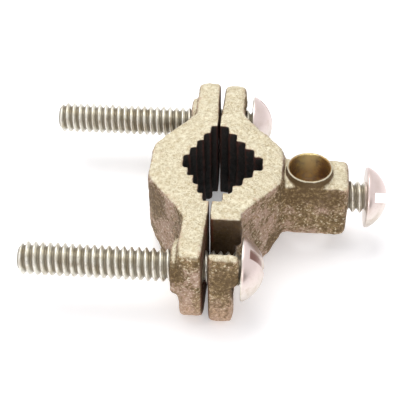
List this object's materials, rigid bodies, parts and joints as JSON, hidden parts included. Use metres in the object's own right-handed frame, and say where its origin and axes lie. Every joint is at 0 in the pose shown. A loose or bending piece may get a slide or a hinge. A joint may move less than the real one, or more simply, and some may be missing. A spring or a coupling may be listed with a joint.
{
  "type": "earth rod clamp",
  "caption": "Cast bronze two-jaw clamp with a serrated rod seat, a slotted ear, clamp screws and a side lug that pinches an earth wire.",
  "frame": {"origin": "on the lower end faces of the castings, midway between the parting faces and midway between the clamp screws", "axes": "+Z along the gripped rod, +X along the clamp screws towards their heads and the wire lug"},
  "size_m": [0.0527, 0.0414, 0.0139],
  "materials": {
    "cast_bronze": "sand cast, tumbled",
    "plated_steel": "bright zinc plate"
  },
  "bodies": {
    "lug_jaw": {"lug_jaw": "cast_bronze"},
    "far_screw": {"far_clamp_screw": "plated_steel"},
    "near_screw": {"near_clamp_screw": "plated_steel"},
    "threaded_jaw": {"threaded_jaw": "cast_bronze"},
    "wire_screw": {"wire_screw": "plated_steel"}
  },
  "joints": [
    {"name": "jaw_swing", "type": "hinge", "parent": "lug_jaw", "child": "far_screw", "pos_m": [0, 0.0161, 0.00815], "axis": [-1, 0, 0], "range_deg": [0, 110]},
    {"name": "jaw_travel", "type": "slide", "parent": "far_screw", "child": "threaded_jaw", "axis": [-1, 0, 0], "range_m": [0, 0.018]},
    {"name": "near_screw_turn", "type": "hinge", "parent": "far_screw", "child": "near_screw", "pos_m": [0, -0.0161, 0.00815], "axis": [1, 0, 0], "range_deg": [0, 6125]},
    {"name": "wire_screw_travel", "type": "slide", "parent": "lug_jaw", "child": "wire_screw", "axis": [-1, 0, 0], "range_m": [-0.002, 0.0026]}
  ],
  "couplings": [
    {"joint": "near_screw_turn", "follows": "jaw_travel", "rad_per_m": 5938.7}
  ]
}
